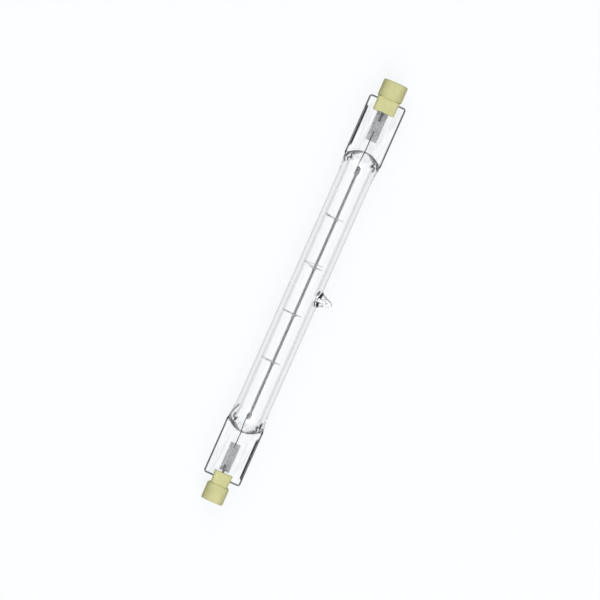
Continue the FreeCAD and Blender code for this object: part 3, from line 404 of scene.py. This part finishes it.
def calculate(tree, operation, first, second):
    """One step of arithmetic on two values, each a number or what another node gives."""
    node = tree.nodes.new("ShaderNodeMath")
    node.operation = operation
    for socket, value in zip(node.inputs, (first, second)):
        if isinstance(value, float):
            socket.default_value = value
        else:
            tree.links.new(value, socket)
    return node.outputs[0]


def mix_colours(tree, share, first, second):
    node = tree.nodes.new("ShaderNodeMixRGB")
    tree.links.new(share, node.inputs["Fac"])
    tree.links.new(first, node.inputs["Color1"])
    if isinstance(second, tuple):
        node.inputs["Color2"].default_value = (*second, 1.0)
    else:
        tree.links.new(second, node.inputs["Color2"])
    return node.outputs["Color"]


def value_on_glass(tree, name):
    """A value that the mesh carries at each of its points."""
    node = tree.nodes.new("ShaderNodeAttribute")
    node.attribute_name = name
    return node.outputs["Fac"]


def ramp(tree, source, stops):
    node = tree.nodes.new("ShaderNodeValToRGB")
    elements = node.color_ramp.elements
    while len(elements) < len(stops):
        elements.new(0.5)
    for element, (place, colour) in zip(elements, stops):
        element.position = place
        element.color = (*colour, 1.0)
    tree.links.new(source, node.inputs["Fac"])
    return node.outputs["Color"]


def place_on(tree, stretch):
    """Object coordinates, stretched along each axis."""
    coordinates = tree.nodes.new("ShaderNodeTexCoord")
    mapping = tree.nodes.new("ShaderNodeMapping")
    mapping.inputs["Scale"].default_value = stretch
    tree.links.new(coordinates.outputs["Object"], mapping.inputs["Vector"])
    return mapping.outputs["Vector"]


def noise(tree, stretch, scale, detail=4.0, rough=0.5):
    node = tree.nodes.new("ShaderNodeTexNoise")
    node.inputs["Scale"].default_value = scale
    node.inputs["Detail"].default_value = detail
    node.inputs["Roughness"].default_value = rough
    tree.links.new(place_on(tree, stretch), node.inputs["Vector"])
    return node.outputs["Fac"]


def bump(tree, height, strength, distance, shader):
    node = tree.nodes.new("ShaderNodeBump")
    node.inputs["Strength"].default_value = strength
    node.inputs["Distance"].default_value = distance
    tree.links.new(height, node.inputs["Height"])
    tree.links.new(node.outputs["Normal"], shader.inputs["Normal"])


def facing(tree):
    """How far a surface turns away from the ray that meets it."""
    node = tree.nodes.new("ShaderNodeLayerWeight")
    node.inputs["Blend"].default_value = 0.5
    return node.outputs["Facing"]


# Painted shade darkens round glass towards its outline. Pressed glass has faint streaks under a
# painted grey shade, and painted dark lines of shade mark its shoulder strokes and rounded edges.
quartz, tree, shader = new_material("fused quartz")
shader.inputs["Transmission Weight"].default_value = 1.0
shader.inputs["IOR"].default_value = 1.458
shader.inputs["Roughness"].default_value = 0.0
# Painted shade: the glass turns grey towards its outline as the surface turns from the ray.
outline_painted_shade = ramp(tree, facing(tree), [
    (0.0, (1.0, 1.0, 1.0)), (0.33, (1.0, 1.0, 1.0)), (0.39, (0.87, 0.875, 0.878)),
    (0.47, (0.76, 0.765, 0.768)), (0.57, (0.61, 0.616, 0.62)), (0.72, (0.5, 0.506, 0.51)),
    (0.88, (0.4, 0.406, 0.41)), (1.0, (0.22, 0.23, 0.23))])
streaks = noise(tree, (0.2, 1.0, 1.0), 900.0, 3.0)
# Faint streaks, and a painted grey shade over the pressed glass.
streaks_and_painted_grey = ramp(tree, streaks, [
    (0.38, (0.82, 0.825, 0.83)), (0.48, (0.91, 0.915, 0.918)), (0.6, (0.97, 0.972, 0.975))])
pressed_share = value_on_glass(tree, "pressed")
tint = mix_colours(tree, pressed_share, outline_painted_shade, streaks_and_painted_grey)
# Painted shade: near-black lines at the shoulder strokes, the arch and the rounded seal edges.
tint = mix_colours(tree, value_on_glass(tree, "painted_line_shade"), tint, (0.025, 0.027, 0.03))
tree.links.new(tint, shader.inputs["Base Color"])
tree.links.new(tint, shader.inputs["Specular Tint"])
waves = noise(tree, (0.12, 1.0, 1.0), 260.0, 2.0)
surface = calculate(
    tree, "ADD", calculate(tree, "MULTIPLY", waves, 0.35),
    calculate(tree, "MULTIPLY", streaks, pressed_share))
bump(tree, surface, 0.09, 0.00015, shader)

outer, pressed, painted_lines = outside_rings(256)
inner = inside_rings(96)
rows, columns, _ = outer.shape
inner_rows, inner_columns, _ = inner.shape
outer_ends = np.array([[outer[0, 0, 0], 0, 0], [outer[-1, 0, 0], 0, 0]])
inner_ends = np.array([[-BORE_ARCH_END, 0, 0], [BORE_ARCH_END, 0, 0]])
glass_points = np.concatenate((
    outer.reshape(-1, 3), outer_ends, inner.reshape(-1, 3), inner_ends))
glass_faces = tube_faces(rows, columns)
glass_faces += tube_faces(inner_rows, inner_columns, first=rows * columns + 2, inward=True)
unpainted = np.zeros(inner_rows * inner_columns + 2)
new_piece("clear_quartz", glass_points, glass_faces, quartz, ["quartz_envelope"], "quartz",
          painted={"pressed": np.concatenate((pressed.ravel(), (1.0, 1.0), unpainted)),
                   "painted_line_shade": np.concatenate((painted_lines.ravel(), (0.0, 0.0), unpainted))})


# The filament: drawn tungsten wire wound into one long fine coil, dull grey when cold.
# Its ends are overwound with a thicker wire, which stiffens them where the leads hold on.
COIL_LEFT = -35.4
COIL_RIGHT = 35.1
COIL_R = 0.425
WIRE_R = 0.065
COIL_PITCH = 0.19
SLEEVE_R = 0.7
SLEEVE_WIRE_R = 0.135
SLEEVE_PITCH = 0.3
LEFT_SLEEVE_END = -34.1
RIGHT_SLEEVE_START = 33.3


def wire(points, radius, sides, away=None):
    """Points and faces of a round wire along a path of points."""
    path = np.asarray(points, float)
    forward = np.gradient(path, axis=0)
    forward /= np.linalg.norm(forward, axis=1)[:, None]
    if away is None:
        up = np.tile((0.0, 0.0, 1.0), (len(path), 1))
    else:
        up = np.asarray(away, float)
    side = np.cross(forward, up)
    side /= np.linalg.norm(side, axis=1)[:, None]
    up = np.cross(side, forward)
    turn = np.linspace(0, 2 * math.pi, sides, endpoint=False)
    rings = (path[:, None, :] + radius * np.cos(turn)[None, :, None] * up[:, None, :]
             + radius * np.sin(turn)[None, :, None] * side[:, None, :])
    points = np.concatenate((rings.reshape(-1, 3), path[:1], path[-1:]))
    return points, tube_faces(len(path), sides)


def helix(start, end, radius, pitch, steps):
    """The path of a wound wire, and for each point the direction away from the axis."""
    turns = (end - start) / pitch
    count = int(turns * steps)
    along = np.linspace(0, 1, count + 1)
    angle = 2 * math.pi * turns * along
    away = np.column_stack((np.zeros_like(angle), np.cos(angle), np.sin(angle)))
    path = away * radius
    path[:, 0] = start + (end - start) * along
    return path, away


def grained_metal(name, stretch, scale, detail, dark, light, roughness, relief):
    """A metal whose colour and relief follow one fine grain."""
    metal, tree, shader = new_material(name)
    shader.inputs["Metallic"].default_value = 1.0
    shader.inputs["Roughness"].default_value = roughness
    grain = noise(tree, stretch, scale, detail)
    shade = ramp(tree, grain, [(0.3, dark), (0.7, light)])
    tree.links.new(shade, shader.inputs["Base Color"])
    bump(tree, grain, *relief, shader)
    return metal


tungsten = grained_metal("drawn tungsten", (1.0, 1.0, 1.0), 2600.0, 5.0,
                         (0.32, 0.32, 0.325), (0.55, 0.55, 0.56), 0.42, (0.3, 0.00002))
path, away = helix(COIL_LEFT + WIRE_R, COIL_RIGHT - WIRE_R, COIL_R - WIRE_R, COIL_PITCH, 12)
new_piece("coil_winding", *wire(path, WIRE_R, 6, away), tungsten, ["filament_coil"], "filament")
for word, start, end in (("left", COIL_LEFT, LEFT_SLEEVE_END),
                         ("right", RIGHT_SLEEVE_START, COIL_RIGHT)):
    path, away = helix(start + SLEEVE_WIRE_R, end - SLEEVE_WIRE_R, SLEEVE_R - SLEEVE_WIRE_R,
                       SLEEVE_PITCH, 28)
    new_piece("overwinding_" + word, *wire(path, SLEEVE_WIRE_R, 10, away), tungsten,
              ["end_sleeve_" + word], "filament")


# The filament supports: fine tungsten wire, wound twice around the coil and then spread into
# one large loop that leans on the wall of the bore and keeps the coil in its middle.
# For each: its place along the tube, the angle at which its wire starts, and its loop's lead
SUPPORTS = [
    (-20.1, 200.0, 0.25),
    (-6.7, 110.0, 0.2),
    (6.4, 250.0, 1.0),
    (20.1, 160.0, 0.3),
]
SUPPORT_WIRE = 0.15
SUPPORT_GAP = 0.012
TIGHT_PITCH = 1.15 * SUPPORT_WIRE
WIDENING_LEAD = 0.9 * SUPPORT_WIRE
TIGHT_TURNS = 2.0
WIDENING_TURNS = 0.8
LOOP_TURNS = 0.93
LOOP_WIDTH = 5.35
support_metal = grained_metal("support wire", (1.0, 1.0, 1.0), 1900.0, 4.0,
                              (0.5, 0.5, 0.51), (0.72, 0.72, 0.73), 0.35, (0.25, 0.00002))


def support_path(place, start_angle, lead):
    """The path of one support's wire, and for each point the direction off the axis."""
    turn = np.linspace(0, TIGHT_TURNS + WIDENING_TURNS + LOOP_TURNS, 150)
    tight = COIL_R + SUPPORT_WIRE / 2 + SUPPORT_GAP
    wide = (LOOP_WIDTH - SUPPORT_WIRE) / 2
    shift = BORE_R - SUPPORT_GAP - LOOP_WIDTH / 2
    grown = smooth_step((turn - TIGHT_TURNS) / WIDENING_TURNS)
    looped = np.maximum(turn - TIGHT_TURNS - WIDENING_TURNS, 0) / LOOP_TURNS
    radius = tight + (wide - tight) * grown
    angle = math.radians(start_angle) + 2 * math.pi * turn
    away = np.column_stack((np.zeros_like(angle), np.cos(angle), np.sin(angle)))
    path = away * radius[:, None]
    path[:, 0] = (place + TIGHT_PITCH * np.minimum(turn, TIGHT_TURNS)
                  + WIDENING_LEAD * grown + lead * looped)
    path[:, 1] += shift * grown
    return path, away


for number, (place, start_angle, lead) in enumerate(SUPPORTS, 1):
    path, away = support_path(place, start_angle, lead)
    new_piece("support_spiral_%d" % number, *wire(path, SUPPORT_WIRE / 2, 10, away),
              support_metal, ["support_%d" % number], "support_wire")


# The leads: a thick molybdenum wire outside each seal and a thin tungsten wire inside it,
# both spot-welded to the foil between them and pressed a little into it.
OUTER_LEAD_R = 0.3
INNER_LEAD_R = 0.15
HALF_FOIL = 0.025
WELD_DEPTH = 0.06
BUTTON_END = 54.6
SEAL_ENTRY = 38.9
RISE_STOPS_BEFORE_COIL = 0.6
HOLD_ON_COIL = 0.8
lead_metal = grained_metal("lead wire", (0.15, 1.0, 1.0), 1500.0, 4.0,
                           (0.12, 0.12, 0.125), (0.27, 0.27, 0.28), 0.4, (0.3, 0.00003))


def outer_lead_path(start, off):
    """From the weld on the foil to the middle of the contact button."""
    level = HALF_FOIL + OUTER_LEAD_R - WELD_DEPTH
    return np.array([(start, off, level), (start + 0.2, off * 0.97, level),
                     (BUTTON_END - 0.2, 0.0, level), (BUTTON_END, 0.0, level)])


def inner_lead_path(foil_end, off, bent_off, coil_end):
    """From the weld on the foil up beside the overwound end of the coil, bent softly."""
    low = HALF_FOIL + INNER_LEAD_R - WELD_DEPTH
    aside = SLEEVE_R + INNER_LEAD_R
    high = math.sqrt(aside ** 2 - bent_off ** 2)
    corners = np.array([(foil_end, off, low), (SEAL_ENTRY, off, low),
                        (coil_end + RISE_STOPS_BEFORE_COIL, bent_off, high),
                        (coil_end - HOLD_ON_COIL, bent_off, high)])
    reach = np.linspace(0, 3, 61)
    path = np.column_stack([np.interp(reach, range(4), corners[:, axis]) for axis in range(3)])
    for _ in range(3):
        path[1:-1] = (path[:-2] + 2 * path[1:-1] + path[2:]) / 4
    return path


# Per end: its side, the outer lead's start and offset, and the inner lead's end on the foil,
# its offset there, its offset beside the coil, and the coil's end
for word, side, outer_lead, inner_lead in (
        ("left", -1, (48.7, -0.45), (43.9, -0.26, -0.62, -COIL_LEFT)),
        ("right", 1, (48.0, 0.13), (45.2, 0.26, 0.58, COIL_RIGHT))):
    to_this_end = (side, side, 1)
    new_piece("outer_lead_wire_" + word,
              *wire(outer_lead_path(*outer_lead) * to_this_end, OUTER_LEAD_R, 20),
              lead_metal, ["outer_lead_" + word], "outer_lead")
    new_piece("inner_lead_wire_" + word,
              *wire(inner_lead_path(*inner_lead) * to_this_end, INNER_LEAD_R, 12),
              lead_metal, ["inner_lead_" + word], "inner_lead")


# The sealing foils: molybdenum rolled thinner than paper, with edges etched to a feather.
# The hot glass wets them unevenly, which leaves a mottled grey with faint cross ripples.
foil_metal, tree, shader = new_material("sealing foil")
shader.inputs["Metallic"].default_value = 0.35
blotches = noise(tree, (1.0, 1.0, 1.0), 1500.0, 6.0, 0.65)
shade = ramp(tree, blotches, [
    (0.3, (0.36, 0.36, 0.36)), (0.5, (0.58, 0.58, 0.585)), (0.7, (0.82, 0.82, 0.83))])
tree.links.new(shade, shader.inputs["Base Color"])
shader.inputs["Roughness"].default_value = 0.55
ripples = noise(tree, (1.0, 0.15, 0.15), 2200.0, 3.0)
bump(tree, ripples, 0.5, 0.00006, shader)
HALF_SHEET = 0.021
LONG_RIPPLE = 0.004
SHORT_RIPPLE = 0.003


def foil_plate(start, end, middle, width):
    """A thin sheet with rippled faces and edges that thin out."""
    rows = 60
    columns = 24
    x, y = np.meshgrid(np.linspace(start, end, rows), np.linspace(-1, 1, columns), indexing="ij")
    ripple = LONG_RIPPLE * np.sin(x * 9.0 + 2.0 * y) + SHORT_RIPPLE * np.sin(x * 23.0 + y)
    thin = HALF_SHEET * np.sqrt(np.maximum(1 - np.abs(y) ** 6, 0.02))
    across = middle + y * width / 2
    top = np.stack((x, across, ripple * 0.5 + thin), axis=2).reshape(-1, 3)
    under = np.stack((x, across, ripple * 0.5 - thin), axis=2).reshape(-1, 3)
    faces = []
    count = rows * columns
    for row in range(rows - 1):
        for column in range(columns - 1):
            a = row * columns + column
            faces.append((a, a + columns, a + columns + 1, a + 1))
            faces.append((a + count, a + count + 1, a + count + columns + 1, a + count + columns))
    edge = list(range(columns))
    edge += [row * columns + columns - 1 for row in range(1, rows)]
    edge += [(rows - 1) * columns + column for column in range(columns - 2, -1, -1)]
    edge += [row * columns for row in range(rows - 2, 0, -1)]
    for here, following in zip(edge, edge[1:] + edge[:1]):
        faces.append((here, following, following + count, here + count))
    return np.concatenate((top, under)), faces


# Per end: its side, where the foil starts and ends, its middle and its width
for word, side, start, end, middle, width in (
        ("left", -1, 42.6, 50.3, -0.22, 2.7), ("right", 1, 42.5, 51.6, 0.05, 3.0)):
    points, faces = foil_plate(start, end, middle, width)
    points = points * (side, side, 1)
    new_piece("foil_sheet_" + word, points, faces, foil_metal, ["foil_" + word], "foil",
              smooth=False)


# The ceramic caps: steatite pressed in a die and fired without glaze, pale yellow and chalky
# with a fine grain.  Each has a fork over its seal and is cemented to it.
ceramic, tree, shader = new_material("unglazed steatite")
mottle = noise(tree, (1.0, 1.0, 1.0), 420.0, 6.0, 0.6)
shade = ramp(tree, mottle, [
    (0.25, (0.62, 0.605, 0.29)), (0.5, (0.68, 0.665, 0.33)), (0.8, (0.74, 0.725, 0.38))])
tree.links.new(shade, shader.inputs["Base Color"])
shader.inputs["Roughness"].default_value = 0.8
shader.inputs["Specular IOR Level"].default_value = 0.25
grain = noise(tree, (1.0, 1.0, 1.0), 2400.0, 6.0, 0.7)
bump(tree, grain, 0.35, 0.00008, shader)


def finish_solid(node, material):
    """A solid of the frame keeps its shape and gets the finish of the real piece."""
    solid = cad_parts[node]
    solid.data.materials.clear()
    solid.data.materials.append(material)


for word in ("left", "right"):
    finish_solid("ceramic_cap_" + word, ceramic)


# The contact buttons: nickel-plated metal at the bottom of each cap's recess, joined to the
# outer lead.  The holder's spring pin presses on them, which rubs the plating a little.
plating = grained_metal("plated contact", (1.0, 1.0, 1.0), 900.0, 5.0,
                        (0.45, 0.43, 0.39), (0.66, 0.64, 0.6), 0.35, (0.3, 0.00004))
for word in ("left", "right"):
    finish_solid("contact_button_" + word, plating)


# The cement between seal and cap: a dry putty, off-white and crumbly, which fills the slot
# in the cap around the seal.
cement, tree, shader = new_material("lamp cement")
crumbs = noise(tree, (1.0, 1.0, 1.0), 1300.0, 8.0, 0.7)
shade = ramp(tree, crumbs, [(0.3, (0.6, 0.59, 0.5)), (0.7, (0.78, 0.77, 0.7))])
tree.links.new(shade, shader.inputs["Base Color"])
shader.inputs["Roughness"].default_value = 0.9
shader.inputs["Specular IOR Level"].default_value = 0.2
bump(tree, crumbs, 0.6, 0.00012, shader)
for word in ("left", "right"):
    finish_solid("cap_cement_" + word, cement)


# The table: a plain white board on which the lamp lies.  Camera, mirror and glass rays see it
# glow plain white; a painted shade dims it where bent rays meet it aslant, which draws the
# outlines of clear glass.  The diffuse share of its colour keeps the lamp's soft shadow.
FLOOR_HALF = 1.5
WHITE_THROUGH_GLASS = 0.96
CAMERA_SHARE = 0.92
table, tree, shader = new_material("white table")
tree.nodes.remove(shader)
speckle = noise(tree, (1.0, 1.0, 1.0), 60.0, 3.0)
diffuse = tree.nodes.new("ShaderNodeBsdfDiffuse")
tree.links.new(
    ramp(tree, speckle, [(0.3, (0.119, 0.12, 0.121)), (0.7, (0.121, 0.122, 0.123))]),
    diffuse.inputs["Color"])
# Painted shade: the glow dims for mirror and glass rays that meet the table aslant.
aslant_painted_shade = ramp(tree, facing(tree), [
    (0.0, (1.0, 1.0, 1.0)), (0.06, (0.98, 0.98, 0.98)), (0.23, (0.9, 0.9, 0.9)),
    (0.5, (0.7, 0.7, 0.7)), (0.8, (0.35, 0.35, 0.35))])
rays = tree.nodes.new("ShaderNodeLightPath").outputs
seen = calculate(tree, "MAXIMUM", rays["Is Camera Ray"], rays["Is Glossy Ray"])
seen = calculate(tree, "MAXIMUM", seen, rays["Is Transmission Ray"])
not_camera = calculate(tree, "SUBTRACT", 1.0, rays["Is Camera Ray"])
aslant_share = calculate(tree, "MULTIPLY", aslant_painted_shade, not_camera)
straight_share = calculate(tree, "MULTIPLY", rays["Is Camera Ray"], CAMERA_SHARE)
share = calculate(tree, "ADD", aslant_share, straight_share)
share = calculate(tree, "MULTIPLY", seen, share)
glow = tree.nodes.new("ShaderNodeEmission")
glow.inputs["Color"].default_value = (0.98, 0.99, 1.0, 1.0)
tree.links.new(
    calculate(tree, "MULTIPLY", share, WHITE_THROUGH_GLASS), glow.inputs["Strength"])
both = tree.nodes.new("ShaderNodeAddShader")
tree.links.new(diffuse.outputs[0], both.inputs[0])
tree.links.new(glow.outputs[0], both.inputs[1])
tree.links.new(both.outputs[0], tree.nodes["Material Output"].inputs["Surface"])
floor_level = in_metres(glass_points)[:, 2].min()
floor_mesh = bpy.data.meshes.new("table_top")
floor_mesh.from_pydata(
    [(-FLOOR_HALF, -FLOOR_HALF, floor_level), (FLOOR_HALF, -FLOOR_HALF, floor_level),
     (FLOOR_HALF, FLOOR_HALF, floor_level), (-FLOOR_HALF, FLOOR_HALF, floor_level)],
    [], [(0, 1, 2, 3)])
floor_mesh.materials.append(table)
floor = bpy.data.objects.new("table_top", floor_mesh)
bpy.context.scene.collection.objects.link(floor)


# Soft studio light: a room that is white near the horizon, with grey walls above and a pale
# ceiling, and two large soft lamps overhead.  The grey is what the edges of the glass mirror,
# so that they stand out from the white.  No ray finds the room darker than ROOM_LIGHT.
ROOM_LIGHT = 0.4
world = bpy.data.worlds.new("studio")
bpy.context.scene.world = world
world.use_nodes = True
tree = world.node_tree
room = tree.nodes["Background"]
room.inputs["Color"].default_value = (0.95, 0.975, 1.0, 1.0)
height = tree.nodes.new("ShaderNodeSeparateXYZ")
tree.links.new(
    tree.nodes.new("ShaderNodeTexCoord").outputs["Generated"], height.inputs[0])
walls = ramp(tree, height.outputs["Z"], [
    (0.0, (1.0, 1.0, 1.0)), (0.12, (1.0, 1.0, 1.0)), (0.25, (0.2, 0.2, 0.2)),
    (0.5, (0.2, 0.2, 0.2)), (0.75, (0.9, 0.9, 0.9))])
rays = tree.nodes.new("ShaderNodeLightPath").outputs
mirrored = calculate(tree, "MAXIMUM", rays["Is Glossy Ray"], rays["Is Transmission Ray"])
mirrored = calculate(tree, "MULTIPLY", mirrored, walls)
strength = calculate(tree, "MAXIMUM", mirrored, rays["Is Camera Ray"])
strength = calculate(tree, "MAXIMUM", strength, ROOM_LIGHT)
tree.links.new(strength, room.inputs["Strength"])


def soft_lamp(name, place, width, power):
    """A square lamp that shines on the middle of the table."""
    data = bpy.data.lights.new(name, "AREA")
    data.size = width
    data.energy = power
    lamp = bpy.data.objects.new(name, data)
    lamp.location = place
    lamp.rotation_mode = "QUATERNION"
    lamp.rotation_quaternion = (-Vector(place)).to_track_quat("-Z", "Y")
    bpy.context.scene.collection.objects.link(lamp)


soft_lamp("key", (-0.5, -0.35, 0.9), 0.7, 6.0)
soft_lamp("fill", (0.6, 0.3, 0.8), 0.8, 3.4)


# The camera hangs far above the table and looks straight down, turned so that the lamp leans
# across the picture.  The lamp's middle is a little right of the picture's and above it.
LEAN = math.radians(23.865)
PIXELS_PER_MM = 3.89
PICTURE_PIXELS = 600
LAMP_RIGHT_PIXELS = 3.9
LAMP_UP_PIXELS = 7.7
DISTANCE = 1500.0
SENSOR_MM = 36.0
right = np.array((math.sin(LEAN), -math.cos(LEAN), 0.0))
up = np.array((math.cos(LEAN), math.sin(LEAN), 0.0))
aim = -(LAMP_RIGHT_PIXELS * right + LAMP_UP_PIXELS * up) / PIXELS_PER_MM
eye = aim + np.array((0.0, 0.0, DISTANCE))
camera_data = bpy.data.cameras.new("camera")
camera_data.sensor_width = SENSOR_MM
camera_data.lens = SENSOR_MM * DISTANCE * PIXELS_PER_MM / PICTURE_PIXELS
camera_data.clip_start = 0.1
camera_data.clip_end = 50.0
camera = bpy.data.objects.new("camera", camera_data)
bpy.context.scene.collection.objects.link(camera)
turned = Matrix((right, up, (0.0, 0.0, 1.0))).transposed().to_4x4()
camera.matrix_world = Matrix.Translation(Vector(eye * MM)) @ turned
bpy.context.scene.camera = camera
bpy.context.scene.view_settings.view_transform = "Standard"
